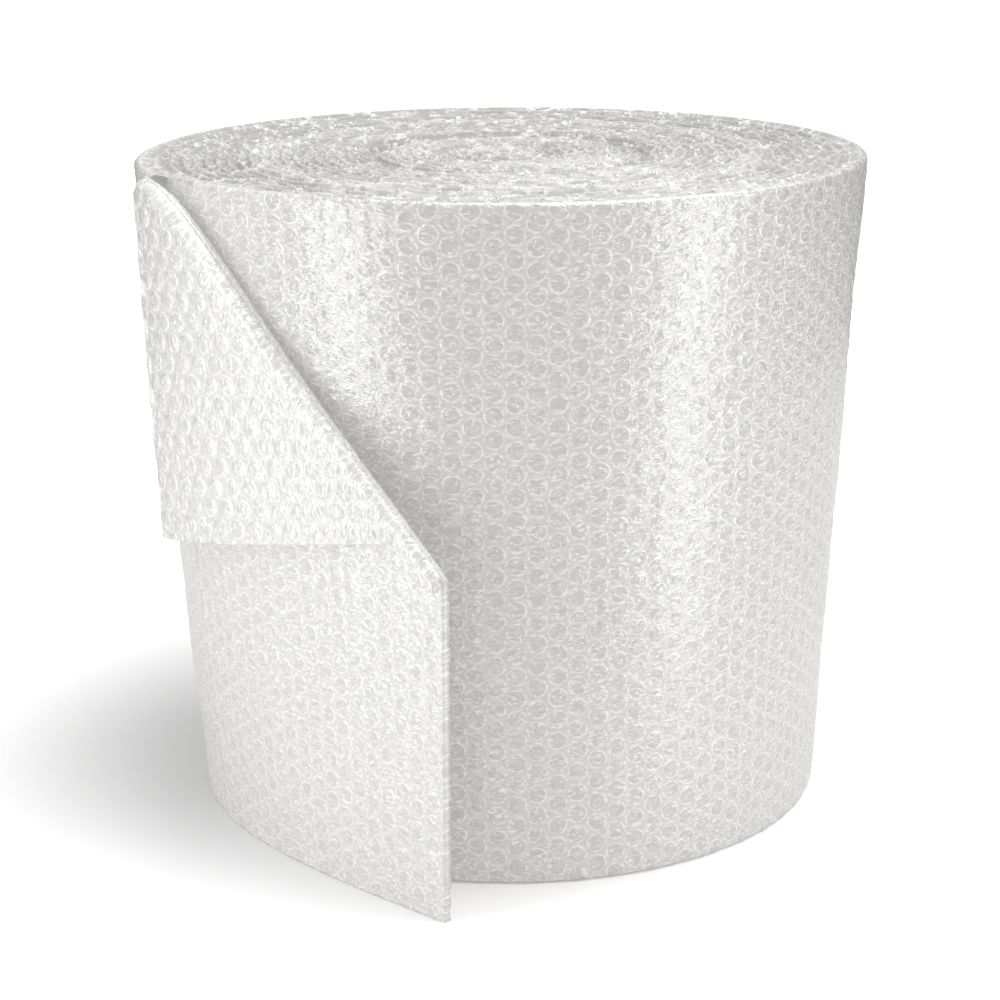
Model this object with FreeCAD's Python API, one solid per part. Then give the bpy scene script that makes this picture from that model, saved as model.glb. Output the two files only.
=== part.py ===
# A roll of bubble film that stands on one end. It is one long sheet: a flat film with a layer of
# air bubbles sealed to its inner side, wound on itself without a core and flared towards the top.
# The free end leaves the roll as a tail that stands on the floor, and the tail's upper corner is
# folded down and back against the roll, which shows the bubble side.
# Millimetres, +Z up along the roll's axis, origin at the centre of the foot.

import FreeCAD, Part
import math
import os

# the sheet
film_width = 305.0          # the height of the standing roll, a 12 inch film
sheet_thickness = 4.1       # flat film with its bubbles, as it lies in the roll at the foot
turn_gap = 0.5              # air between one turn and the next at the foot

# the winding, as it is at the foot
foot_radius = 151.0         # outer face of the last turn, where the tail starts
core_radius = 9.0           # outer face of the first turn
top_flare = 1.115           # how many times wider and looser the winding is at the top
tail_start_deg = 207.5      # where the tail starts, from +X towards +Y

# the sheet creases between its rows of bubbles: (from this radius, flats in a turn)
crease_zones = ((0.0, 9), (34.0, 27), (104.0, 54), (146.2, 108))

# the folded corner pulls the last turns out of round at the top
pull_height = 7.0           # how far the last turn stands out there
pull_turns = 2.5            # how many turns share it
pull_spread_deg = 30.0      # about half of the arc that it covers

# the tail, from the winding to the cut end
tail_end = (-28.65, -185.7)  # the foot of the cut end, outer face
tail_end_lean = (1.5, -1.5)  # how far the cut end leans at full height
tail_end_deg = -41.0        # direction of the tail at its cut end
bubble_row = 8.7            # from one crease to the next along the tail

# the folded corner, measured along the sheet from the cut end and up from the floor
fold_low = 157.0            # height of the fold at the cut end
fold_bow = 0.11             # how far the fold bows up before it reaches the top edge, as a share of its rise
fold_gap_end = 2.4          # air inside the fold at the cut end
fold_gap_start = 5.2        # air inside the fold where it reaches the top edge
flap_slope = 0.062          # how fast the flap swings out below the fold
flap_foot = 170.5           # height of the flap's lower edge, taken back to the cut end
flap_droop = 0.165          # how much lower that edge is for each millimetre from the cut end
nose_drop = 12.0            # how much lower it is at the nose of the fold
nose_length = 6.0
corner_to_winding = 9.8     # from the sheet's free corner to where the tail leaves the winding
bend_flats = 4
edge_flats = 5              # spans along the flap's slanting left edge

node_name = "bubble_film_roll"

turn_pitch = sheet_thickness + turn_gap


def flats_in_turn(radius):
    """The number of flats in a turn of that radius."""
    return [count for start, count in crease_zones if radius >= start][-1]


def radius_at(turned_back):
    """Radius of the outer face at the foot, that many radians back along the winding from the tail."""
    return foot_radius - turn_pitch * turned_back / (2 * math.pi)


def pull_at(turned_back):
    """How far the top of the sheet stands out of round there."""
    share = max(0.0, 1.0 - turned_back / (2 * math.pi * pull_turns))
    away = (turned_back + math.pi) % (2 * math.pi) - math.pi
    return pull_height * share * math.exp(-(math.degrees(away) / pull_spread_deg) ** 2)


def thickness_at(z):
    """The sheet is pressed less the higher it is."""
    return sheet_thickness * (1 + (top_flare - 1) * z / film_width)


def flat_face(corners):
    return Part.Face(Part.makePolygon(corners + corners[:1]))


def joined_solid(sections):
    """The solid through sections of equal corner count, with one flat face, or two, per pair of corners."""
    sections = [[FreeCAD.Vector(*p) for p in section] for section in sections]
    faces = [flat_face(sections[0]), flat_face(sections[-1])]
    for here, there in zip(sections, sections[1:]):
        for k in range(len(here)):
            a, b, c, d = here[k - 1], here[k], there[k], there[k - 1]
            normal = (c - a).cross(d - b).normalize()
            if abs((b - a).dot(normal)) < 1e-8:
                faces.append(flat_face([a, b, c, d]))
            elif (c - a).Length < (d - b).Length:
                faces += [flat_face([a, b, c]), flat_face([a, c, d])]
            else:
                faces += [flat_face([a, b, d]), flat_face([b, c, d])]
    shell = Part.makeCompound(faces)
    shell.sewShape(1e-4)
    solid = Part.makeSolid(shell if shell.ShapeType == "Shell" else shell.Shells[0])
    if solid.Volume < 0:
        solid.reverse()
    return solid


def upright_section(foot, top, outward):
    """The sheet's cross-section as a tall thin rectangle below its outer face."""
    inner_foot = [foot[i] - sheet_thickness * outward[i] for i in (0, 1)]
    inner_top = [top[i] - thickness_at(film_width) * outward[i] for i in (0, 1)]
    return [(*foot, 0.0), (*top, film_width), (*inner_top, film_width), (*inner_foot, 0.0)]


def winding_sections():
    """Sections from the tail's start in to the first turn, one for each crease, and the curled start."""
    sections = []
    turned_back = 0.0
    while True:
        radius = radius_at(turned_back)
        angle = math.radians(tail_start_deg) - turned_back
        outward = (math.cos(angle), math.sin(angle))
        top = radius * top_flare + pull_at(turned_back)
        sections.append(upright_section([radius * c for c in outward], [top * c for c in outward], outward))
        if radius <= core_radius:
            break
        turned_back += 2 * math.pi / flats_in_turn(radius)
    # the sheet starts with a tight curl whose end crosses the axis
    curl = (radius - sheet_thickness / 2) / 2
    centre = [curl * c for c in outward]
    steps = 6
    for k in range(1, steps + 1):
        turn = angle - math.pi * k / steps
        across = (math.cos(turn), math.sin(turn))
        foot = [centre[i] + (curl + sheet_thickness / 2) * across[i] for i in (0, 1)]
        sections.append(upright_section(foot, [top_flare * c for c in foot], across))
    onward = (across[1], -across[0])
    foot = [foot[i] + 0.7 * sheet_thickness * onward[i] for i in (0, 1)]
    sections.append(upright_section(foot, [top_flare * c for c in foot], across))
    return sections


def hermite(start, leave, end, arrive, t):
    """Point and slope of the cubic between two points with those unit directions."""
    reach = math.dist(start, end)
    value = (2 * t**3 - 3 * t**2 + 1, t**3 - 2 * t**2 + t, -2 * t**3 + 3 * t**2, t**3 - t**2)
    rate = (6 * t**2 - 6 * t, 3 * t**2 - 4 * t + 1, -6 * t**2 + 6 * t, 3 * t**2 - 2 * t)
    parts = [(start[i], reach * leave[i], end[i], reach * arrive[i]) for i in (0, 1)]
    return ([sum(v * p for v, p in zip(value, part)) for part in parts],
            [sum(v * p for v, p in zip(rate, part)) for part in parts])


def tail_plan(t):
    """Outer face of the tail at the foot and at full height, and its outward direction.

    t is 0 at the winding and 1 at the cut end.
    """
    angle = math.radians(tail_start_deg)
    outward, leave = (math.cos(angle), math.sin(angle)), (-math.sin(angle), math.cos(angle))
    arrive = (math.cos(math.radians(tail_end_deg)), math.sin(math.radians(tail_end_deg)))
    top_radius = foot_radius * top_flare + pull_height
    top_end = [tail_end[i] + tail_end_lean[i] for i in (0, 1)]
    foot, foot_slope = hermite([foot_radius * c for c in outward], leave, tail_end, arrive, t)
    top, top_slope = hermite([top_radius * c for c in outward], leave, top_end, arrive, t)
    slope = [foot_slope[i] + top_slope[i] for i in (0, 1)]
    size = math.hypot(*slope)
    return foot, top, (slope[1] / size, -slope[0] / size)


def tail_length():
    """Length of the tail at full height, along the sheet."""
    points = [tail_plan(k / 200)[1] for k in range(201)]
    return sum(math.dist(a, b) for a, b in zip(points, points[1:]))


def corner_from_end(length):
    """Distance of the sheet's free corner from the cut end."""
    return length - corner_to_winding


def fold_height(share):
    """Height of the fold at that share of the way from the cut end to the winding."""
    bow = fold_bow * math.sin(math.pi * share ** 2.5)
    return fold_low + (film_width - fold_low) * (share + bow)


def flap_low_edge(from_end, length):
    """Height of the flap's lower edge, and left of the free corner of its slanting left edge."""
    corner = corner_from_end(length)
    reach = min(from_end, corner)
    low = flap_foot - flap_droop * reach - nose_drop * math.exp(-reach / nose_length)
    if from_end > corner:
        low += (film_width - low) * (from_end - corner) / corner_to_winding
    return low


def folded_section(t, length):
    """The tail's cross-section: up from the floor, over the fold and down the flap."""
    foot, top, outward = tail_plan(t)
    share = max(0.0, 1 - t)
    fold_top = fold_height(share)
    gap = fold_gap_end + (fold_gap_start - fold_gap_end) * share
    thick = thickness_at(fold_top)
    centre_z = fold_top - gap / 2 - thick
    low = min(flap_low_edge(length * share, length), centre_z - thick / 2)
    swing = flap_slope * (centre_z - low)
    halves = [math.pi * k / bend_flats for k in range(bend_flats + 1)]
    inner = [(gap / 2 * (1 - math.cos(a)), centre_z + gap / 2 * math.sin(a)) for a in halves]
    reach = gap / 2 + thick
    outer = [(gap / 2 - reach * math.cos(a), centre_z + reach * math.sin(a)) for a in halves]
    profile = [(-sheet_thickness, 0.0), (0.0, 0.0)] + inner + [(gap + swing, low)]
    profile += [(gap + thick + swing, low)] + outer[::-1]
    points = []
    for away, z in profile:
        place = [foot[i] + (top[i] - foot[i]) * z / film_width + away * outward[i] for i in (0, 1)]
        points.append((*place, z))
    return points


def make_tail():
    """The tail with its folded corner, from the winding to the cut end."""
    length = tail_length()
    corner = corner_from_end(length)
    edge = [corner_to_winding / length * k / edge_flats for k in range(edge_flats + 1)]
    count = max(4, round(corner / bubble_row))
    rest = [edge[-1] + (1 - edge[-1]) * k / count for k in range(1, count + 1)]
    return joined_solid([folded_section(t, length) for t in edge + rest])


def main():
    os.makedirs("parts", exist_ok=True)
    winding = joined_solid(winding_sections())
    tail = make_tail()
    roll = winding.fuse(tail)
    if not roll.isValid() or len(roll.Solids) != 1:
        raise ValueError("the winding and the tail don't make one sound solid")
    roll = roll.Solids[0]
    print("faces", len(roll.Faces), "triangles", len(roll.tessellate(0.12)[1]), "volume", roll.Volume)
    print("box", roll.BoundBox)
    roll.exportStep("parts/" + node_name + ".step")


main()
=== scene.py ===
import bpy
import math
import numpy as np
from mathutils import Matrix, Vector


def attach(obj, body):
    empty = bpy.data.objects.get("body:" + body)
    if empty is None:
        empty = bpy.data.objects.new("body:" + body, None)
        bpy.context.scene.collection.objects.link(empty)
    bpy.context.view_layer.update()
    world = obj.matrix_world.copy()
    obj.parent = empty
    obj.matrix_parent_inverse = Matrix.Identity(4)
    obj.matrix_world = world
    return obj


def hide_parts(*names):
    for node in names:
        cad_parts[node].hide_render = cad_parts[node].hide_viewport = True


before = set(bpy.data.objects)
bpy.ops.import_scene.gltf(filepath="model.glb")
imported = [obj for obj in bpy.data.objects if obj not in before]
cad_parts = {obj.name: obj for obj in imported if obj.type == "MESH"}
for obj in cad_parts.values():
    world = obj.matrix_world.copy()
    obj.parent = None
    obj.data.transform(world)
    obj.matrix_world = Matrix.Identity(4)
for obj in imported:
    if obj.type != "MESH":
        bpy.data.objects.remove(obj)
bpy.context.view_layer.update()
scene = bpy.context.scene

# Everything is in metres, in the CAD model's frame: +Z up along the roll, -Y towards the viewer.

rollSizes = {
    "width": 0.305,          # height of the standing roll
    "footRadius": 0.151,     # outer face of the last turn at the foot
    "flare": 1.115,
    "turnPitch": 0.0046,
    "thickness": 0.0041,
    "tailStartDeg": 207.5,
    "pullHeight": 0.007,     # the folded corner pulls the top of the last turns out of round
    "pullTurns": 2.5,
    "pullSpreadDeg": 30.0,
}
tailStart = math.radians(rollSizes["tailStartDeg"])

bubbleSizes = {
    "rowPitch": 0.010144,    # from one bubble to the next in a column
    "columnPitch": 0.00895,
    "ringRadius": 0.0041,    # where a bubble is sealed to the flat film
    "frontColumn": -0.0066,  # arc position of one column, from the roll's front line
    "frontRow": 0.29706,     # height of one of its bubbles
    # the flat side
    "crownHeight": 0.00055,
    "crownChance": (-0.35, 1.3),   # share of the crown's height that each bubble has: least, spread
    "rimHeight": 0.00022,
    "rimWidth": 0.0006,
    "slackWaves": ((0.006, 0.00010, 5), (0.018, 0.00012, 6)),   # wavelength, height, seed
    # the bubble side
    "domeHeight": 0.0010,
    "domeFoot": 0.0002,
    "domeChance": (0.62, 0.38),
    "dentWaves": ((0.0045, 0.10, 8), (0.0095, 0.10, 9)),
    "tilt": 0.5,
    "tiltLimit": 0.2,
}


# helpers for surfaces

def gridObject(name, points, uv, layersAndPaintedLight, material, flip=False):
    # Points on a grid become one surface of quads, with a UV map that holds the film's own coordinates.
    rows, cols = points.shape[:2]
    index = np.arange(rows * cols).reshape(rows, cols)
    quads = np.stack([index[:-1, :-1], index[1:, :-1], index[1:, 1:], index[:-1, 1:]], -1).reshape(-1, 4)
    if flip:
        quads = quads[:, ::-1]
    return meshObject(name, points.reshape(-1, 3), quads, uv.reshape(-1, 2), layersAndPaintedLight.ravel(), material)


def meshObject(name, points, quads, uv, layersAndPaintedLight, material):
    # Vertices and quads go into a mesh as whole arrays. The layers value is 0 for a single sheet and 1 over
    # the full roll, lowered beside the fold where painted light makes the wall paler. On the wound ends it
    # carries
    # painted light and shade instead: 0 in deep gaps and 1 on bright crests.
    mesh = bpy.data.meshes.new(name)
    mesh.vertices.add(len(points))
    mesh.vertices.foreach_set("co", points.astype(np.float32).ravel())
    mesh.loops.add(quads.size)
    mesh.loops.foreach_set("vertex_index", quads.astype(np.int32).ravel())
    mesh.polygons.add(len(quads))
    mesh.polygons.foreach_set("loop_start", np.arange(0, quads.size, 4, dtype=np.int32))
    mesh.update(calc_edges=True)
    layer = mesh.uv_layers.new(name="film")
    layer.data.foreach_set("uv", uv[quads.ravel()].astype(np.float32).ravel())
    mesh.attributes.new("layersAndPaintedLight", "FLOAT", "POINT").data.foreach_set("value", layersAndPaintedLight.astype(np.float32))
    mesh.validate()
    mesh.shade_smooth()
    mesh.materials.append(material)
    made = bpy.data.objects.new(name, mesh)
    scene.collection.objects.link(made)
    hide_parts("bubble_film_roll")
    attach(made, "root")
    print("piece", name, len(quads), "quads")
    return made


def surfaceNormals(points):
    # Unit cross product of the two grid directions at each point.
    across = np.gradient(points, axis=0)
    along = np.gradient(points, axis=1)
    normal = np.cross(across, along)
    return normal / np.maximum(np.linalg.norm(normal, axis=-1, keepdims=True), 1e-12)


def waveDraws(seed, low, high, count):
    # Seeded turns between low and high, wavelengths as shares of the size asked for, and phases.
    rng = np.random.default_rng(seed)
    return zip(rng.uniform(low, high, count), rng.uniform(0.7, 1.5, count), rng.uniform(0, 2 * np.pi, count))


def evenedOut(total, count):
    # The sum of that many sine waves, scaled to about -1 to 1.
    return total / math.sqrt(count) / 1.2


def waves(x, y, size, seed, count=14):
    # Sine waves in seeded directions, with wavelengths about the given size.
    total = np.zeros(np.broadcast(x, y).shape)
    for turn, stretch, phase in waveDraws(seed, 0, np.pi, count):
        k = 2 * np.pi / (size * stretch)
        total += np.sin(k * (x * np.cos(turn) + y * np.sin(turn)) + phase)
    return evenedOut(total, count)


def waveSum(s, v, parts):
    # Waves of several sizes, each times its own height.
    return sum(height * waves(s, v, size, seed) for size, height, seed in parts)


def cellChance(ix, iy, seed=0.0):
    # A repeatable number from 0 to 1 for each bubble.
    value = np.sin(ix * 12.9898 + iy * 78.233 + seed * 37.719) * 43758.5453
    return value - np.floor(value)


def nearestBubble(s, v):
    # Distance to the nearest centre of a staggered lattice, and that bubble's two numbers.
    # The lattice is two rectangular ones: the second is moved by one column and half a row.
    wide, tall = 2 * bubbleSizes["columnPitch"], bubbleSizes["rowPitch"]
    best = None
    for shift in (0.0, 0.5):
        qx, qy = s / wide + shift, v / tall + shift
        ix, iy = np.floor(qx + 0.5), np.floor(qy + 0.5)
        distance = np.hypot((qx - ix) * wide, (qy - iy) * tall)
        if best is None:
            best = distance, ix, iy
        else:
            nearer = distance < best[0]
            best = tuple(np.where(nearer, new, old) for new, old in
                         zip((distance, ix + 0.5, iy + 0.5), best))
    return best


def latticeUv(s, v):
    # Place on the film, counted in cells of the lattice.
    return np.stack([s / (2 * bubbleSizes["columnPitch"]), v / bubbleSizes["rowPitch"]], -1)


def flatSideRelief(s, v):
    # Height of the smooth side: a low crown over each bubble, a rim where it is sealed, and slack between.
    distance, ix, iy = nearestBubble(s, v)
    ring = bubbleSizes["ringRadius"]
    least, spread = bubbleSizes["crownChance"]
    crown = np.clip(1 - (distance / ring) ** 2, 0, None) * (least + spread * cellChance(ix, iy))
    rim = np.exp(-((distance - ring) / bubbleSizes["rimWidth"]) ** 2)
    slack = waveSum(s, v, bubbleSizes["slackWaves"])
    return bubbleSizes["crownHeight"] * crown + bubbleSizes["rimHeight"] * rim + slack


def domeRelief(s, v):
    # Height of the bubble side: steep-sided domes with flat, dented and tilted crowns on the flat film.
    distance, ix, iy = nearestBubble(s, v)
    full = np.clip(1 - (distance / bubbleSizes["ringRadius"]) ** 3, 0, 1) ** 0.6
    least, spread = bubbleSizes["domeChance"]
    level = least + spread * cellChance(ix, iy, 2.0)
    across = s / bubbleSizes["columnPitch"] - 2 * ix
    tilt = (cellChance(ix, iy, 5.0) - 0.5) * bubbleSizes["tilt"] * across
    level = level + np.clip(tilt, -bubbleSizes["tiltLimit"], bubbleSizes["tiltLimit"])
    return bubbleSizes["domeFoot"] + bubbleSizes["domeHeight"] * full * \
        (level + waveSum(s, v, bubbleSizes["dentWaves"]))


def radiusAt(turnedBack):
    # The last turn's foot radius, less one pitch for each turn back.
    return rollSizes["footRadius"] - rollSizes["turnPitch"] * turnedBack / (2 * np.pi)


def pullAt(turnedBack):
    # A bell over the angle from the tail's start, which fades with each turn back.
    share = np.clip(1 - turnedBack / (2 * np.pi * rollSizes["pullTurns"]), 0, 1)
    away = (turnedBack + np.pi) % (2 * np.pi) - np.pi
    return rollSizes["pullHeight"] * share * np.exp(-(np.degrees(away) / rollSizes["pullSpreadDeg"]) ** 2)


def wallRadius(turnedBack, z):
    # The flared winding's outer face: the foot radius grows evenly with height, and the top is pulled out.
    high = z / rollSizes["width"]
    return radiusAt(turnedBack) * (1 + (rollSizes["flare"] - 1) * high) + pullAt(turnedBack) * high


# materials

def addNode(tree, kind, inputs=None, **settings):
    made = tree.nodes.new(kind)
    for key, value in settings.items():
        setattr(made, key, value)
    for key, value in (inputs or {}).items():
        if isinstance(value, bpy.types.NodeSocket):
            tree.links.new(value, made.inputs[key])
        else:
            made.inputs[key].default_value = value
    return made


def maths(tree, operation, *values, clamp=False):
    made = addNode(tree, "ShaderNodeMath", dict(enumerate(values)), operation=operation, use_clamp=clamp)
    return made.outputs[0]


def vectorMaths(tree, operation, *values):
    made = addNode(tree, "ShaderNodeVectorMath", dict(enumerate(values)), operation=operation)
    return made.outputs["Value"] if operation == "LENGTH" else made.outputs["Vector"]


def ramp(tree, value, low, high, lowTo=0.0, highTo=1.0):
    return addNode(tree, "ShaderNodeMapRange",
                   {"Value": value, "From Min": low, "From Max": high, "To Min": lowTo, "To Max": highTo},
                   interpolation_type="SMOOTHSTEP").outputs[0]


def blendColour(tree, share, first, second):
    made = addNode(tree, "ShaderNodeMix", {0: share}, data_type="RGBA")
    for socket, value in ((made.inputs[6], first), (made.inputs[7], second)):
        if isinstance(value, bpy.types.NodeSocket):
            tree.links.new(value, socket)
        else:
            socket.default_value = (*value, 1.0)
    return made.outputs[2]


def newGroup(name, inputs, outputs):
    tree = bpy.data.node_groups.new(name, "ShaderNodeTree")
    for key, kind, value in inputs:
        socket = tree.interface.new_socket(key, in_out="INPUT", socket_type=kind)
        if value is not None:
            socket.default_value = value
    for key, kind in outputs:
        tree.interface.new_socket(key, in_out="OUTPUT", socket_type=kind)
    return tree, addNode(tree, "NodeGroupInput"), addNode(tree, "NodeGroupOutput")


groupSizes = {
    "wobbleScale": 1.7,                     # of the noise that moves the bubbles a little
    "fadeScale": 0.9, "fadeSpan": (0.42, 0.62),
    "jump": (31.0, 17.0),                   # each bubble takes its wrinkles from another place
    "dentStretch": (0.7, 1.25, 1.0), "grainStretch": (0.7, 1.4, 1.0),
    "grainScale": 4.6, "heldSpan": (0.42, 0.56),
}


def thinLine(tree, value, width):
    # 1 where a noise crosses its middle value, and 0 farther from it than the width.
    away = maths(tree, "ABSOLUTE", maths(tree, "SUBTRACT", value, 0.5))
    return maths(tree, "SUBTRACT", 1.0, maths(tree, "DIVIDE", away, width), clamp=True)


def makeLatticeGroup():
    # Distance in millimetres to the nearest bubble's centre, and a random value for each bubble.
    tree, start, end = newGroup("bubbleLattice",
                                [("Place", "NodeSocketVector", None), ("Wobble", "NodeSocketFloat", 0.03)],
                                [("Distance", "NodeSocketFloat"), ("Chance", "NodeSocketFloat")])
    noise = addNode(tree, "ShaderNodeTexNoise",
                    {"Vector": start.outputs["Place"], "Scale": groupSizes["wobbleScale"], "Detail": 1.0})
    moved = vectorMaths(tree, "SUBTRACT", noise.outputs["Color"], (0.5, 0.5, 0.5))
    scaled = addNode(tree, "ShaderNodeVectorMath", {0: moved, "Scale": start.outputs["Wobble"]},
                     operation="SCALE")
    place = vectorMaths(tree, "ADD", start.outputs["Place"], scaled.outputs["Vector"])
    size = (2000 * bubbleSizes["columnPitch"], 1000 * bubbleSizes["rowPitch"], 0.0)
    found = []
    for shift in (0.0, 0.5):
        cell = vectorMaths(tree, "ADD", place, (shift, shift, 0.0))
        centre = vectorMaths(tree, "FLOOR", vectorMaths(tree, "ADD", cell, (0.5, 0.5, 0.5)))
        offset = vectorMaths(tree, "MULTIPLY", vectorMaths(tree, "SUBTRACT", cell, centre), size)
        number = vectorMaths(tree, "ADD", centre, (shift * 7.3, shift * 3.1, 0.0))   # unlike the first's
        found.append((vectorMaths(tree, "LENGTH", offset), number))
    nearer = maths(tree, "LESS_THAN", found[1][0], found[0][0])
    number = addNode(tree, "ShaderNodeMix", {0: nearer, 4: found[0][1], 5: found[1][1]}, data_type="VECTOR")
    chance = addNode(tree, "ShaderNodeTexWhiteNoise", {"Vector": number.outputs[1]}, noise_dimensions="2D")
    tree.links.new(maths(tree, "MINIMUM", found[0][0], found[1][0]), end.inputs["Distance"])
    tree.links.new(chance.outputs["Value"], end.inputs["Chance"])
    return tree


def makeCreaseGroup():
    # Thin bright wrinkles: the zero line of a warped noise, faded by a second noise.
    tree, start, end = newGroup("filmCreases",
                                [("Place", "NodeSocketVector", None), ("Scale", "NodeSocketFloat", 3.0),
                                 ("Width", "NodeSocketFloat", 0.03)],
                                [("Crease", "NodeSocketFloat"), ("Slack", "NodeSocketFloat")])
    place = start.outputs["Place"]
    noise = addNode(tree, "ShaderNodeTexNoise", {"Vector": place, "Scale": start.outputs["Scale"],
                                                 "Detail": 2.0, "Roughness": 0.55, "Distortion": 0.6})
    line = thinLine(tree, noise.outputs["Fac"], start.outputs["Width"])
    slow = addNode(tree, "ShaderNodeTexNoise", {"Vector": place, "Scale": groupSizes["fadeScale"],
                                                "Detail": 1.0})
    crease = maths(tree, "MULTIPLY", line, ramp(tree, slow.outputs["Fac"], *groupSizes["fadeSpan"]))
    tree.links.new(crease, end.inputs["Crease"])
    tree.links.new(noise.outputs["Fac"], end.inputs["Slack"])
    return tree


def makeWrinkleGroup():
    # Wrinkles of the film over each bubble, cut off at its rim, and a fine grain everywhere. Line is 1 on a
    # wrinkle, Dent and Grain are heights from 0 to 1.
    tree, start, end = newGroup("filmWrinkles",
                                [("Place", "NodeSocketVector", None), ("Chance", "NodeSocketFloat", 0.0),
                                 ("Inside", "NodeSocketFloat", 0.0), ("Scale", "NodeSocketFloat", 3.0),
                                 ("Width", "NodeSocketFloat", 0.03)],
                                [("Line", "NodeSocketFloat"), ("Dent", "NodeSocketFloat"),
                                 ("Grain", "NodeSocketFloat")])
    ratio = 2 * bubbleSizes["columnPitch"] / bubbleSizes["rowPitch"]
    even = vectorMaths(tree, "MULTIPLY", start.outputs["Place"], (ratio, 1.0, 1.0))
    jump = maths(tree, "MULTIPLY", start.outputs["Chance"], start.outputs["Inside"])
    shifts = [maths(tree, "MULTIPLY", jump, reach) for reach in groupSizes["jump"]]
    shift = addNode(tree, "ShaderNodeCombineXYZ", dict(enumerate(shifts)))
    moved = vectorMaths(tree, "ADD", even, shift.outputs[0])
    moved = vectorMaths(tree, "MULTIPLY", moved, groupSizes["dentStretch"])
    dent = addNode(tree, "ShaderNodeTexNoise", {"Vector": moved, "Scale": start.outputs["Scale"],
                                                "Detail": 1.5, "Roughness": 0.5, "Distortion": 0.9})
    flat = vectorMaths(tree, "MULTIPLY", even, groupSizes["grainStretch"])
    grain = addNode(tree, "ShaderNodeTexNoise", {"Vector": flat, "Scale": groupSizes["grainScale"],
                                                 "Detail": 2.0, "Distortion": 0.7})
    line = thinLine(tree, dent.outputs["Fac"], start.outputs["Width"])
    held = maths(tree, "MULTIPLY", ramp(tree, grain.outputs["Fac"], *groupSizes["heldSpan"]), line)
    tree.links.new(held, end.inputs["Line"])
    tree.links.new(dent.outputs["Fac"], end.inputs["Dent"])
    tree.links.new(grain.outputs["Fac"], end.inputs["Grain"])
    return tree


latticeGroup = makeLatticeGroup()
creaseGroup = makeCreaseGroup()
wrinkleGroup = makeWrinkleGroup()


def groupNode(tree, group, inputs):
    return addNode(tree, "ShaderNodeGroup", inputs, node_tree=group).outputs


def finishSurface(tree, shader, colour, height):
    # The colour, and a bump whose height is in millimetres.
    tree.links.new(colour, shader.inputs["Base Color"])
    bump = addNode(tree, "ShaderNodeBump", {"Height": height, "Strength": 1.0, "Distance": 0.001})
    tree.links.new(bump.outputs[0], shader.inputs["Normal"])


def startMaterial(name, look):
    material = bpy.data.materials.new(name)
    material.use_nodes = True
    tree = material.node_tree
    tree.nodes.clear()
    # painted light: a small constant emission stands in for light scattered inside the film, lifting its
    # shade
    shader = addNode(tree, "ShaderNodeBsdfPrincipled",
                     {"Roughness": look["roughness"], "IOR": look["ior"],
                      "Emission Color": (1.0, 0.98, 0.96, 1.0), "Emission Strength": look["paintedGlow"]})
    tree.links.new(shader.outputs[0], addNode(tree, "ShaderNodeOutputMaterial").inputs[0])
    place = addNode(tree, "ShaderNodeUVMap", uv_map="film").outputs[0]
    layersAndPaintedLight = addNode(tree, "ShaderNodeAttribute", attribute_name="layersAndPaintedLight").outputs["Fac"]
    return material, tree, shader, place, layersAndPaintedLight


def filmMaterial(name, look):
    # Clear, glossy film over many layers of itself: a milky colour with pale broken rings where the bubbles
    # are sealed and wrinkles inside them, whose pale colour is a painted highlight. Where fewer layers lie
    # behind it, it is paler, and beside the fold the same paleness is painted light.
    material, tree, shader, place, layersAndPaintedLight = startMaterial(name, look)
    lattice = groupNode(tree, latticeGroup, {"Place": place, "Wobble": look["wobble"]})
    distance, chance = lattice["Distance"], lattice["Chance"]
    ringMm = bubbleSizes["ringRadius"] * 1000
    disc = ramp(tree, distance, ringMm, ringMm - look["discEdge"])
    inside = maths(tree, "LESS_THAN", distance, ringMm)
    wrinkle = groupNode(tree, wrinkleGroup, {"Place": place, "Chance": chance, "Inside": inside,
                                             "Scale": look["wrinkleScale"], "Width": look["wrinkleWidth"]})
    field = blendColour(tree, layersAndPaintedLight, look["fieldSingle"], look["field"])
    discTone = blendColour(tree, layersAndPaintedLight, look["discSingle"], look["disc"])
    pale = blendColour(tree, layersAndPaintedLight, look["rimSingle"], look["rim"])
    off = maths(tree, "SUBTRACT", distance, ringMm)
    rim = ramp(tree, maths(tree, "ABSOLUTE", off), look["rimWidth"], 0.0)
    echoOff = maths(tree, "ABSOLUTE", maths(tree, "SUBTRACT", off, look["echoAway"]))
    echo = ramp(tree, echoOff, look["echoWidth"], 0.0)
    mottle = maths(tree, "MULTIPLY", ramp(tree, wrinkle["Grain"], *look["mottleSpan"]), look["mottle"])
    tinted = blendColour(tree, mottle, blendColour(tree, disc, field, discTone), pale)
    # painted highlight: wrinkle lines inside the bubbles take the pale rim colour as glints; their bump is
    # real
    lines = maths(tree, "MULTIPLY", maths(tree, "MULTIPLY", wrinkle["Line"], disc), look["paintedWrinkleGlint"])
    broken = ramp(tree, wrinkle["Grain"], *look["breakSpan"])
    rings = maths(tree, "MULTIPLY", maths(tree, "MULTIPLY_ADD", echo, look["echoShare"], rim), broken)
    share = maths(tree, "MAXIMUM", lines, maths(tree, "MULTIPLY", rings, look["rimShare"]))
    height = maths(tree, "MULTIPLY", rings, look["rimBump"])
    dent = maths(tree, "MULTIPLY", maths(tree, "SUBTRACT", wrinkle["Dent"], look["dentLevel"]), disc)
    for value, part in ((dent, "dentBump"), (wrinkle["Grain"], "grainBump"), (lines, "lineBump")):
        height = maths(tree, "MULTIPLY_ADD", value, look[part], height)
    finishSurface(tree, shader, blendColour(tree, share, tinted, pale), height)
    return material


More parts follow.
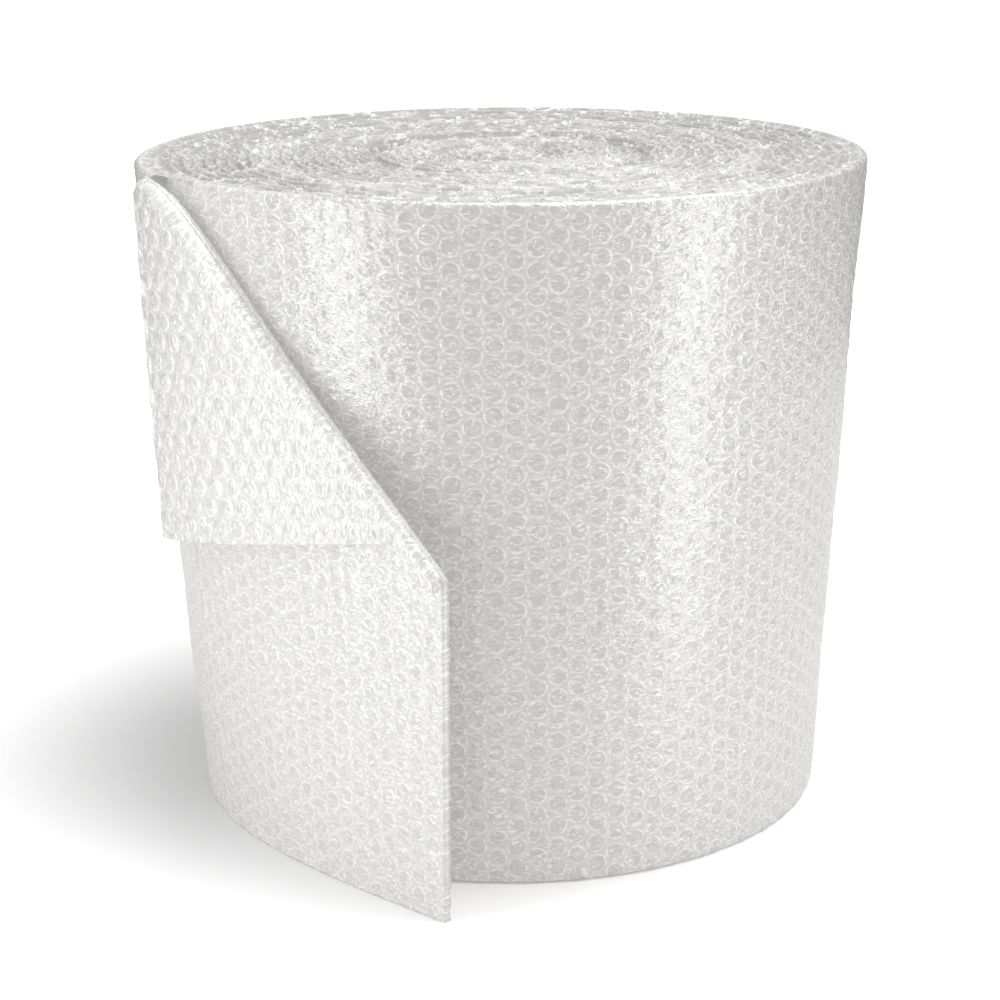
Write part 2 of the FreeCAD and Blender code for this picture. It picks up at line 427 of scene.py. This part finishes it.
def edgeMaterial(name, look):
    # Crumpled edges side by side: bright squiggles over painted shade in the depths and a lighter tone on the
    # crests, blended by the ends' painted light and shade.
    material, tree, shader, place, light = startMaterial(name, look)
    crease, fine = (groupNode(tree, creaseGroup, {"Place": place, "Scale": look[scale],
                                                  "Width": look["creaseWidth"]})
                    for scale in ("creaseScale", "fineScale"))
    cloud = addNode(tree, "ShaderNodeTexNoise", {"Vector": place, "Scale": look["cloudScale"], "Detail": 2.0})
    # painted light and shade from the ends' attribute, broken up by a cloud and the slack
    share = maths(tree, "MULTIPLY", light, ramp(tree, cloud.outputs["Fac"], *look["cloudSpan"]))
    share = maths(tree, "MULTIPLY", share, ramp(tree, crease["Slack"], *look["slackSpan"]))
    paintedLightAndShade = blendColour(tree, share, look["gap"], look["crest"])
    fineLines = maths(tree, "MULTIPLY", fine["Crease"], look["fineShare"])
    lines = maths(tree, "MAXIMUM", crease["Crease"], fineLines)
    height = maths(tree, "MULTIPLY", lines, look["creaseBump"])
    height = maths(tree, "MULTIPLY_ADD", crease["Slack"], look["slackBump"], height)
    colour = blendColour(tree, maths(tree, "MULTIPLY", lines, look["creaseShare"]), paintedLightAndShade, look["squiggle"])
    finishSurface(tree, shader, colour, height)
    return material


# Rings, discEdge and bumps are in millimetres. A span is a noise's low and high value, and what they become
# where it isn't 0 and 1.
wallLook = {
    "field": (0.31, 0.295, 0.28), "disc": (0.27, 0.255, 0.24), "rim": (0.80, 0.79, 0.77),
    "fieldSingle": (0.43, 0.425, 0.42), "discSingle": (0.40, 0.395, 0.39), "rimSingle": (0.92, 0.92, 0.92),
    "wobble": 0.07, "discEdge": 0.5, "rimWidth": 0.55, "rimShare": 0.62, "breakSpan": (0.38, 0.60, 0.25, 1.0),
    "echoAway": 0.8, "echoWidth": 0.35, "echoShare": 0.35,    # a fainter ring outside the first
    # the wrinkles' share of the pale colour is a painted highlight
    "wrinkleScale": 2.6, "wrinkleWidth": 0.045, "paintedWrinkleGlint": 0.6,
    "mottle": 0.14, "mottleSpan": (0.35, 0.65),
    "rimBump": 0.12, "dentBump": 0.75, "dentLevel": 0.4, "grainBump": 0.45, "lineBump": 0.1,
    # painted light: the emission strength is a constant glow that lifts the film's shade
    "paintedGlow": 0.20, "roughness": 0.25, "ior": 2.2,
}
domeLook = dict(wallLook, fieldSingle=(0.41, 0.405, 0.40), discSingle=(0.38, 0.375, 0.37), rimShare=0.6,
                paintedWrinkleGlint=0.7)
edgeLook = {
    # gap is painted shade for the depths, and crest the tone where the painted light is high
    "crest": (0.55, 0.54, 0.53), "gap": (0.28, 0.27, 0.26), "squiggle": (0.82, 0.815, 0.81),
    "creaseScale": 1.0, "creaseWidth": 0.07, "creaseShare": 0.85, "creaseBump": 0.6,
    "fineScale": 1.8, "fineShare": 0.8, "slackSpan": (0.36, 0.47, 0.5, 1.0), "slackBump": 1.0,
    "cloudScale": 0.4, "cloudSpan": (0.32, 0.6, 0.6, 1.0),
    # painted light: the emission strength is a constant glow that lifts the ends' shade
    "paintedGlow": 0.12, "roughness": 0.4, "ior": 1.15,
}

wallFilm = filmMaterial("rolledFilm", wallLook)
domeFilm = filmMaterial("bubbleSideFilm", domeLook)
edgeFilm = edgeMaterial("woundEdges", edgeLook)
print("stage materials made")


# the wall: the outside of the last turn

wallSizes = {
    "frontStep": 0.00142, "backStep": 0.0019, "stepRadius": 0.157,     # of the grids
    "splitDeg": -10.0,                                                 # where the two strips meet
    "rimRound": 0.0024, "rimSteps": 6,
    "overlapDeg": 40.0, "hiddenCut": 0.015, "hiddenFade": 0.02,        # under the last turn
    "waveSize": 0.09, "waveHeight": 0.0004, "waveFade": 0.3,           # out of round
    "layersFade": 0.9, "layersPower": 0.7,                             # angle over which the tail joins it
    # beside the fold, painted light: share of paleness, angle and height where it starts, and over how much
    # it grows
    "paintedLightShare": 0.6, "paintedLightAngle": -2.0, "paintedLightFade": 0.3, "paintedLightLow": 0.17, "paintedLightRise": 0.08,
    "placeShare": 0.985, "fanFrom": 1.2, "fanOver": 0.9,               # of the film's own coordinates
    "tailHeight": 0.15,                                                # where the tail's ones meet them
}


def filmPlace(angle, z):
    # Arc position and height on the film. Columns stand parallel to the axis at the front, where the arc
    # is taken at each height's own radius, and fan out evenly towards the back.
    turn = angle + np.pi / 2
    foot = rollSizes["footRadius"] * wallSizes["placeShare"]
    own, middle = (foot * (1 + (rollSizes["flare"] - 1) * share) for share in (z / rollSizes["width"], 0.5))
    far = np.clip((np.abs(turn) - wallSizes["fanFrom"]) / wallSizes["fanOver"], 0, 1)
    return (own + (middle - own) * far) * turn - bubbleSizes["frontColumn"], z - bubbleSizes["frontRow"]


def tailPlace(u, v, length):
    # The same coordinates for the tail, where u is the distance from the cut end.
    start = filmPlace(np.array(tailStart), np.array(wallSizes["tailHeight"]))[0]
    return start + length - u, v - bubbleSizes["frontRow"]


def makeWall(name, fromDeg, toDeg, step):
    # A strip of the winding's outer face between two angles: radius as a function of angle and height.
    # Its top and foot roll over a small rounding towards the axis. More than a whole turn back from the tail,
    # it lies under the last turn and stops a little lower. Beside the fold it has painted light: its colour
    # is made paler there for light that would come through the folded corner.
    count = int(math.radians(toDeg - fromDeg) * wallSizes["stepRadius"] / step)
    angle = np.radians(np.linspace(fromDeg, toDeg, count))
    lip = wallSizes["rimRound"]
    height = rollSizes["width"]
    z = np.linspace(lip, height - lip, int(height / step))
    corner = np.linspace(0, np.pi / 2, wallSizes["rimSteps"])
    rise, inward = lip * np.sin(corner), lip - lip * np.cos(corner)
    zAll = np.concatenate([(lip - rise)[::-1][:-1], z, (height - lip + rise)[1:]])
    inset = np.concatenate([inward[::-1][:-1], z * 0, inward[1:]])
    a, h = np.meshgrid(angle, zAll, indexing="ij")
    back = tailStart - a
    h = h * (1 - wallSizes["hiddenCut"] * np.clip((back - 2 * np.pi) / wallSizes["hiddenFade"], 0, 1))
    s, v = filmPlace(a, h)
    fade = np.clip(1 - inset / lip, 0, 1)[None, :]
    wave = wallSizes["waveHeight"] * waves(s, v, wallSizes["waveSize"], 3)
    wave = wave * np.clip(back / wallSizes["waveFade"], 0, 1)
    r = wallRadius(back, h) - inset[None, :] + (flatSideRelief(s, v) + wave) * fade
    points = np.stack([r * np.cos(a), r * np.sin(a), h], -1)
    layersAndPaintedLight = np.clip(back / wallSizes["layersFade"], 0, 1) ** wallSizes["layersPower"]
    # painted light beside the fold: the wall's colour is paler where the folded corner shades it
    pale = np.clip((wallSizes["paintedLightAngle"] - a) / wallSizes["paintedLightFade"], 0, 1) * \
        np.clip((h - wallSizes["paintedLightLow"]) / wallSizes["paintedLightRise"], 0, 1)
    return gridObject(name, points, latticeUv(s, v), layersAndPaintedLight * (1 - wallSizes["paintedLightShare"] * pale), wallFilm)


startDeg, splitDeg = rollSizes["tailStartDeg"], wallSizes["splitDeg"]
makeWall("wallFront", startDeg - 360 - wallSizes["overlapDeg"], splitDeg, wallSizes["frontStep"])
makeWall("wallBack", splitDeg, startDeg, wallSizes["backStep"])
print("stage wall made")


# the tail and the folded corner, which are one sheet

tailSizes = {
    "end": (-0.02865, -0.1857), "endLean": (0.0015, -0.0015), "endDeg": -41.0,
    "foldLow": 0.157, "foldBow": 0.11, "foldGapEnd": 0.0024, "foldGapStart": 0.0052, "flapSlope": 0.062,
    "flapFoot": 0.1705, "flapDroop": 0.165, "noseDrop": 0.012, "noseLength": 0.006, "flapCorner": 0.1585,
    "bowPower": 2.5,
    "beyond": 0.008, "dip": 0.12,                  # the tail goes on under the wall, and sinks at that slope
    "reliefFade": 0.012, "reliefLeast": 0.2,       # the bubbles are flatter that near to the fold
    "flatInset": 0.00002, "bubbleInset": 0.0011,   # room for the relief inside the sheet's thickness
    "tailStep": 0.0012, "flapStep": 0.00085, "tailSpan": 0.25, "flapSpan": 0.16,    # for the grids
}


def cubic(start, leave, end, arrive, t):
    # Cubic between two points with those unit directions, and its slope.
    reach = math.dist(start, end)
    value = (2 * t**3 - 3 * t**2 + 1, t**3 - 2 * t**2 + t, -2 * t**3 + 3 * t**2, t**3 - t**2)
    rate = (6 * t**2 - 6 * t, 3 * t**2 - 4 * t + 1, -6 * t**2 + 6 * t, 3 * t**2 - 2 * t)
    spots = [np.array(start), reach * np.array(leave), np.array(end), reach * np.array(arrive)]
    return [sum(share[..., None] * spot for share, spot in zip(shares, spots)) for shares in (value, rate)]


def tailPlan(t):
    # Foot and top of the tail's outer face, and its outward direction: 0 at the winding, 1 at the cut end.
    outward = np.array([math.cos(tailStart), math.sin(tailStart)])
    leave = (-math.sin(tailStart), math.cos(tailStart))
    endAngle = math.radians(tailSizes["endDeg"])
    arrive = (math.cos(endAngle), math.sin(endAngle))
    topRadius = rollSizes["footRadius"] * rollSizes["flare"] + rollSizes["pullHeight"]
    topEnd = np.array(tailSizes["end"]) + np.array(tailSizes["endLean"])
    foot, footSlope = cubic(rollSizes["footRadius"] * outward, leave, tailSizes["end"], arrive, t)
    top, topSlope = cubic(topRadius * outward, leave, topEnd, arrive, t)
    slope = footSlope + topSlope
    slope = slope / np.linalg.norm(slope, axis=-1, keepdims=True)
    return foot, top, np.stack([slope[..., 1], -slope[..., 0]], -1)


def tailLength():
    # Length of the tail along its top edge, as the sum of short steps.
    top = tailPlan(np.linspace(0, 1, 400))[1]
    return float(np.linalg.norm(np.diff(top, axis=0), axis=-1).sum())


def foldHeight(u, length):
    # Straight from the cut end to the winding, with a bow that grows towards the top edge.
    share = np.clip(u / length, 0, 1)
    bow = tailSizes["foldBow"] * np.sin(np.pi * share ** tailSizes["bowPower"])
    return tailSizes["foldLow"] + (rollSizes["width"] - tailSizes["foldLow"]) * (share + bow)


def flapLowEdge(u, length):
    # A drooping line with a rounded nose at the cut end, then the steep left edge beyond the free corner.
    reach = np.minimum(u, tailSizes["flapCorner"])
    low = tailSizes["flapFoot"] - tailSizes["flapDroop"] * reach - \
        tailSizes["noseDrop"] * np.exp(-reach / tailSizes["noseLength"])
    beyond = np.clip((u - tailSizes["flapCorner"]) / (length - tailSizes["flapCorner"]), 0, 1)
    return low + (rollSizes["width"] - low) * beyond


def thicknessAt(z):
    # The sheet is pressed less the higher it is, by the same share as the flare.
    return rollSizes["thickness"] * (1 + (rollSizes["flare"] - 1) * z / rollSizes["width"])


def foldSpine(u, length):
    # What the fold is built from at distance u from the cut end: its apex, air gap, thickness and the
    # height of the half circle's centre.
    apex = foldHeight(u, length)
    gap = tailSizes["foldGapEnd"] + (tailSizes["foldGapStart"] - tailSizes["foldGapEnd"]) * u / length
    thick = thicknessAt(apex)
    return apex, gap, thick, apex - gap / 2 - thick


def sheetPoint(u, away, z, length):
    # A place on the tail's outer face at height z, moved outwards by away. Beyond the tail's start it dips
    # under the wall.
    away = away - tailSizes["dip"] * np.clip(u - length, 0, None)
    foot, top, outward = tailPlan(1 - u / length)
    plan = foot + (top - foot) * (z / rollSizes["width"])[..., None] + away[..., None] * outward
    return np.concatenate([plan, z[..., None]], -1)


def reliefNear(distance):
    # How much of the bubbles' relief there is at that distance from the fold's crown.
    return np.clip(distance / tailSizes["reliefFade"], tailSizes["reliefLeast"], 1)


def tailMiddle(u, t, length):
    # The sheet's mid surface from the floor, t = 0, to the crown of the fold, t = 1: straight up, then a
    # quarter circle.
    apex, gap, thick, centre = foldSpine(u, length)
    bend = (gap + thick) / 2
    path = centre + bend * np.pi / 2
    along = t * path
    turn = np.clip((along - centre) / bend, 0, np.pi / 2)
    z = np.minimum(along, centre) + bend * np.sin(turn)
    thick = thicknessAt(np.minimum(z, centre))
    away = bend * (1 - np.cos(turn)) - thick / 2
    return sheetPoint(u, away, z, length), u, along, thick, reliefNear(path - along)


def flapMiddle(u, t, length):
    # From the crown, t = 0, round the other quarter and down to the flap's lower edge, t = 1, swinging
    # outwards. The film's own coordinates are mirrored in the fold's mean line.
    apex, gap, thick, centre = foldSpine(u, length)
    bend = (gap + thick) / 2
    low = np.minimum(flapLowEdge(u, length), centre - thick / 2)
    quarter = bend * np.pi / 2
    along = t * (quarter + centre - low)
    turn = np.clip(along / bend, 0, np.pi / 2)
    below = np.clip(along - quarter, 0, None)
    z = centre + bend * np.cos(turn) - below
    away = bend * (1 + np.sin(turn)) - thick / 2 + tailSizes["flapSlope"] * below
    rise = rollSizes["width"] - tailSizes["foldLow"]
    size = math.hypot(length, rise)
    alongDir, acrossDir = np.array([length, rise]) / size, np.array([-rise, length]) / size
    up = apex - along - tailSizes["foldLow"]
    lineShare, lineAway = (u * way[0] + up * way[1] for way in (alongDir, acrossDir))
    uFilm, vFilm = (lineShare * alongDir[axis] - lineAway * acrossDir[axis] for axis in (0, 1))
    return sheetPoint(u, away, z, length), uFilm, tailSizes["foldLow"] + vFilm, thick, reliefNear(along)


def makeSheet(name, middle, u, v, thick, relief):
    # Two faces on one grid, the flat side and the bubble side, joined round the edges into a closed sheet.
    # relief is smaller than 1 in the tight bend of the fold.
    normal = -surfaceNormals(middle)
    half = thick / 2
    s, v = tailPlace(u, v, sheetLength)
    flatAway = half - tailSizes["flatInset"] + relief * flatSideRelief(s, v)
    bubbleAway = tailSizes["bubbleInset"] - half - relief * domeRelief(s, v)
    flat, bubbles = (middle + normal * away[..., None] for away in (flatAway, bubbleAway))
    rows, cols = u.shape
    index = np.arange(rows * cols).reshape(rows, cols)
    quads = np.stack([index[:-1, :-1], index[:-1, 1:], index[1:, 1:], index[1:, :-1]], -1).reshape(-1, 4)
    loop = np.concatenate([index[:-1, 0], index[-1, :-1], index[:0:-1, -1], index[0, :0:-1]])
    after = np.roll(loop, -1)
    count = rows * cols
    edge = np.stack([loop, after, after + count, loop + count], -1)
    uv = np.tile(latticeUv(s, v).reshape(-1, 2), (2, 1))
    points = np.concatenate([flat.reshape(-1, 3), bubbles.reshape(-1, 3)])
    faces = np.concatenate([quads, quads[:, ::-1] + count, edge])
    made = meshObject(name, points, faces, uv, np.zeros(2 * count), wallFilm)
    made.data.materials.append(domeFilm)
    which = np.zeros(len(made.data.polygons), dtype=np.int32)
    which[len(quads):] = 1
    made.data.polygons.foreach_set("material_index", which)
    return made


sheetLength = tailLength()
for name, middleOf, beyond, step, span in (
        ("tailSheet", tailMiddle, tailSizes["beyond"], tailSizes["tailStep"], tailSizes["tailSpan"]),
        ("foldedCorner", flapMiddle, 0.0, tailSizes["flapStep"], tailSizes["flapSpan"])):
    u, t = np.meshgrid(np.linspace(0, sheetLength + beyond, int(sheetLength / step)),
                       np.linspace(0, 1, int(span / step)), indexing="ij")
    makeSheet(name, *middleOf(u, t, sheetLength))
print("stage tail made")


# the wound ends, where the edges of all the turns lie side by side

endSizes = {
    "topGrid": (140, 700), "footGrid": (95, 360),          # across and around
    "groove": 0.0014, "grooveWidth": 0.16, "rimFade": 24,
    "crest": 0.0011, "crestWave": 0.0085, "crestWidth": 0.42, "crestShare": 0.6, "aroundMost": 42,
    "fineWave": 0.006, "fineWidth": 0.45, "coreRadius": 0.02,
    "whorl": 0.0009, "whorlWave": 0.019, "wander": 0.004, "wanderWave": 0.08,
    # one loose gap among the turns, deepest at the back, and a band of painted shade along it
    "pitDepth": 0.003, "pitTurn": 20.0, "pitWidth": 0.8, "pitDeg": 95.0, "pitSpan": (0.45, 0.6),
    "moatTurn": 19.4, "moatWidth": 1.5, "moatAngle": 2.3, "moatSpan": (0.6, 0.5),
    "patternSize": 0.0075,
}
# how much painted light and shade each form adds to the film's brightness there: lighter on crests and near
# the rim, darker in grooves and the pit and the moat, banded along the whorl, and darker towards the back and
# the sides
endPaintedLight = {
    "base": 0.6, "crest": 0.5, "pit": -0.8, "paintedMoatShade": -1.0, "whorl": -0.3, "groove": -0.6,
    "back": -0.4, "sides": -0.4, "radius": 0.17, "rim": 0.4, "rimFade": 30,
}


def ringWaves(radius, angle, size, seed, count):
    # Sine waves in radius and angle, a whole number of them around, so that they run along the turns.
    total = np.zeros(radius.shape)
    for turn, stretch, phase in waveDraws(seed, -1, 1, count):
        around = round(turn * endSizes["aroundMost"])
        total += np.sin(2 * np.pi * radius / (size * stretch) + around * angle + phase)
    return evenedOut(total, count)


def bell(value, width):
    # 1 at zero, and exp(-1) one width away from it.
    return np.exp(-(value / width) ** 2)


def facing(angle, middle, span):
    # From 0 to 1: largest at the middle angle, with the span's mean and swing.
    mean, swing = span
    return np.clip(mean + swing * np.cos(angle - middle), 0, 1)


def makeEnd(name, z, up, fromShare, toShare, grid):
    # The edges of all the turns, on a grid of shares of the way to the centre and angle. A spiral groove
    # parts the turns, crumpled film stands in winding crests where a sum of waves is near zero, and one loose
    # gap sinks between inner and outer turns, with a band of painted shade, the moat, along it. The colour's
    # brightness is painted light and shade, set from these forms and from the place on the end.
    across, around = grid
    share, angle = np.meshgrid(np.linspace(fromShare, toShare, across),
                               np.linspace(tailStart - 2 * np.pi, tailStart, around + 1), indexing="ij")
    back = tailStart - angle
    turns = share * (rollSizes["footRadius"] / rollSizes["turnPitch"] - back / (2 * np.pi))
    whole, phase = np.floor(turns), turns % 1.0
    outerTurn, innerTurn = (wallRadius(2 * np.pi * count + back, np.full_like(back, z))
                            for count in (whole, whole + 1))
    radius = outerTurn + (innerTurn - outerTurn) * phase - wallSizes["rimRound"] * (1 - share)
    radius = np.maximum(radius, 0.0)
    x, y = radius * np.cos(angle), radius * np.sin(angle)
    turn = turns + back / (2 * np.pi)

    groove = 1 - bell(np.minimum(phase, 1 - phase), endSizes["grooveWidth"])
    outer = np.clip(radius / endSizes["coreRadius"] - 1, 0, 1)
    wide = outer * ringWaves(radius, angle, endSizes["crestWave"], 24, 20) + \
        (1 - outer) * waves(x, y, endSizes["crestWave"], 24, 20)
    fine = waves(x, y, endSizes["fineWave"], 25, 20)
    crest = endSizes["crestShare"] * bell(wide, endSizes["crestWidth"]) + \
        (1 - endSizes["crestShare"]) * bell(fine, endSizes["fineWidth"])
    inward = turn * rollSizes["turnPitch"] + endSizes["wander"] * waves(x, y, endSizes["wanderWave"], 27)
    whorl = waves(inward, np.zeros_like(x), endSizes["whorlWave"], 26, 10)
    pit = bell(turn - endSizes["pitTurn"], endSizes["pitWidth"]) * \
        facing(angle, math.radians(endSizes["pitDeg"]), endSizes["pitSpan"])
    paintedMoatShade = bell(turn - endSizes["moatTurn"], endSizes["moatWidth"]) * \
        facing(angle, endSizes["moatAngle"], endSizes["moatSpan"])

    drop = endSizes["groove"] * groove + endSizes["crest"] * (1 - crest) + \
        endSizes["whorl"] * np.clip(whorl + 1, 0, 2)
    drop = drop * np.clip(share * endSizes["rimFade"], 0, 1) + endSizes["pitDepth"] * pit
    forms = {"base": 1.0, "crest": crest, "pit": pit, "paintedMoatShade": paintedMoatShade, "whorl": whorl, "groove": groove,
             "back": y / endPaintedLight["radius"], "sides": (x / endPaintedLight["radius"]) ** 2,
             "rim": np.exp(-share * endPaintedLight["rimFade"])}
    # painted light and shade: each form's share of brightness, kept between 0 and 1
    light = np.clip(sum(endPaintedLight[key] * form for key, form in forms.items()), 0, 1)
    points = np.stack([x, y, z - up * drop], -1)
    uv = points[..., :2] / endSizes["patternSize"]
    return gridObject(name, points, uv, light, edgeFilm, flip=up > 0)


makeEnd("topEdgesOuter", rollSizes["width"], 1, 0.0, 0.5, endSizes["topGrid"])
makeEnd("topEdgesInner", rollSizes["width"], 1, 0.5, 1.0, endSizes["topGrid"])
makeEnd("footEdges", 0.0, -1, 0.0, 1.0, endSizes["footGrid"])
print("stage ends made")


# camera, floor and light

# the camera as it was fitted to the photo: its focal length is in pixels of a picture 1000 pixels wide
cameraSpot = {"place": (-0.00115, -1.1234, 0.4556), "pitchDeg": 15.948, "yawDeg": -0.191, "rollDeg": -0.320,
              "pixels": 2406.07, "sensor": 36.0}
pitch, yaw, roll = (math.radians(cameraSpot[key]) for key in ("pitchDeg", "yawDeg", "rollDeg"))
forward = Vector((math.sin(yaw) * math.cos(pitch), math.cos(yaw) * math.cos(pitch), -math.sin(pitch)))
right = Vector((math.cos(yaw), -math.sin(yaw), 0.0))
upward = right.cross(forward)
rolledRight = math.cos(roll) * right + math.sin(roll) * upward
rolledUp = -math.sin(roll) * right + math.cos(roll) * upward
camera = bpy.data.objects.new("camera", bpy.data.cameras.new("camera"))
scene.collection.objects.link(camera)
camera.data.sensor_width = cameraSpot["sensor"]
camera.data.lens = cameraSpot["sensor"] * cameraSpot["pixels"] / 1000
turned = Matrix((rolledRight, rolledUp, -forward)).transposed().to_4x4()
camera.matrix_world = Matrix.Translation(cameraSpot["place"]) @ turned
scene.camera = camera

floorLook = {
    "grey": 0.88, "roughness": 0.7, "depth": 0.0002,
    "middle": (-0.03, 0.03, 0.0),                                      # centre of the painted glow's fade, set to the left so the shadow under the roll stays darker there
    "paintedGlowSpans": ((0.13, 0.33, 0.0, 0.45), (0.45, 1.3, 0.0, 0.75)),    # painted light: the floor glows to the camera, white far off and fading out near the roll, which shapes its shadow
}
floorMesh = bpy.data.meshes.new("floor")
floorMesh.from_pydata([(-4, -4, 0), (4, -4, 0), (4, 6, 0), (-4, 6, 0)], [], [(0, 1, 2, 3)])
floor = bpy.data.objects.new("floor", floorMesh)
scene.collection.objects.link(floor)
floor.location.z = -floorLook["depth"]
floorPaint = bpy.data.materials.new("floorPaint")
floorPaint.use_nodes = True
tree = floorPaint.node_tree
floorShader = tree.nodes["Principled BSDF"]
floorShader.inputs["Base Color"].default_value = (floorLook["grey"],) * 3 + (1,)
floorShader.inputs["Roughness"].default_value = floorLook["roughness"]
floorShader.inputs["Emission Color"].default_value = (1, 1, 1, 1)
# painted light: the floor glows to the camera only, more the farther it is from the roll
rays = addNode(tree, "ShaderNodeLightPath")
far = addNode(tree, "ShaderNodeTexCoord").outputs["Object"]
reach = vectorMaths(tree, "LENGTH", vectorMaths(tree, "SUBTRACT", far, floorLook["middle"]))
paintedGlow = maths(tree, "ADD", *(ramp(tree, reach, *span) for span in floorLook["paintedGlowSpans"]))
seenPaintedGlow = maths(tree, "MULTIPLY", rays.outputs["Is Camera Ray"], paintedGlow)
tree.links.new(seenPaintedGlow, floorShader.inputs["Emission Strength"])
floorMesh.materials.append(floorPaint)

# two narrow upright boxes give the bright bands on the winding, and one wide box lights it from above
lamps = {
    "leftBox": {"azimuth": -41.0, "height": 0.20, "distance": 0.36, "size": (0.05, 0.38), "power": 0.29},
    "rightBox": {"azimuth": 45.7, "height": 0.20, "distance": 0.345, "size": (0.035, 0.38), "power": 0.25},
    "topBox": {"azimuth": 100.0, "height": 1.5, "distance": 0.34, "size": (1.1, 1.1), "power": 18.0},
}
lampTarget = Vector((0, 0, 0.15))
for name, lamp in lamps.items():
    data = bpy.data.lights.new(name, "AREA")
    data.shape = "RECTANGLE"
    data.size, data.size_y = lamp["size"]
    data.energy = lamp["power"]
    made = bpy.data.objects.new(name, data)
    scene.collection.objects.link(made)
    azimuth = math.radians(lamp["azimuth"])
    distance = lamp["distance"]
    spot = Vector((math.sin(azimuth) * distance, -math.cos(azimuth) * distance, lamp["height"]))
    aim = lampTarget - spot
    made.matrix_world = Matrix.Translation(spot) @ aim.to_track_quat("-Z", "Y").to_matrix().to_4x4()

# dark cards behind and beside both sides, out of the camera's sight, which darken the roll's edges
cards = {
    "feet": [((0.18, 0.45), (0.55, 0.45)), ((0.55, 0.45), (0.55, -0.15)),
             ((-0.22, 0.45), (-0.55, 0.45)), ((-0.55, 0.45), (-0.55, 0.05))],
    "low": 0.1, "high": 0.6, "grey": 0.12,
}
cardPoints = [(*foot, cards[edge]) for left, right in cards["feet"]
              for foot, edge in ((left, "low"), (right, "low"), (right, "high"), (left, "high"))]
cardMesh = bpy.data.meshes.new("darkCard")
cardMesh.from_pydata(cardPoints, [], [range(i, i + 4) for i in range(0, len(cardPoints), 4)])
card = bpy.data.objects.new("darkCard", cardMesh)
scene.collection.objects.link(card)
cardPaint = bpy.data.materials.new("darkCardPaint")
cardPaint.use_nodes = True
cardPaint.node_tree.nodes["Principled BSDF"].inputs["Base Color"].default_value = (cards["grey"],) * 3 + (1,)
cardMesh.materials.append(cardPaint)
card.visible_camera = False
card.visible_shadow = False

skyLight = 0.62      # of white, for diffuse light: the camera and mirrored light see full white
world = bpy.data.worlds.new("studio")
scene.world = world
world.use_nodes = True
tree = world.node_tree
tree.nodes.clear()
sky = addNode(tree, "ShaderNodeBackground", {"Color": (1, 1, 1, 1)})
rays = addNode(tree, "ShaderNodeLightPath")
seen = maths(tree, "MAXIMUM", rays.outputs["Is Camera Ray"], rays.outputs["Is Glossy Ray"])
tree.links.new(maths(tree, "MULTIPLY_ADD", seen, 1 - skyLight, skyLight), sky.inputs["Strength"])
tree.links.new(sky.outputs[0], addNode(tree, "ShaderNodeOutputWorld").inputs[0])
scene.view_settings.view_transform = "Standard"
print("stage camera and light set")
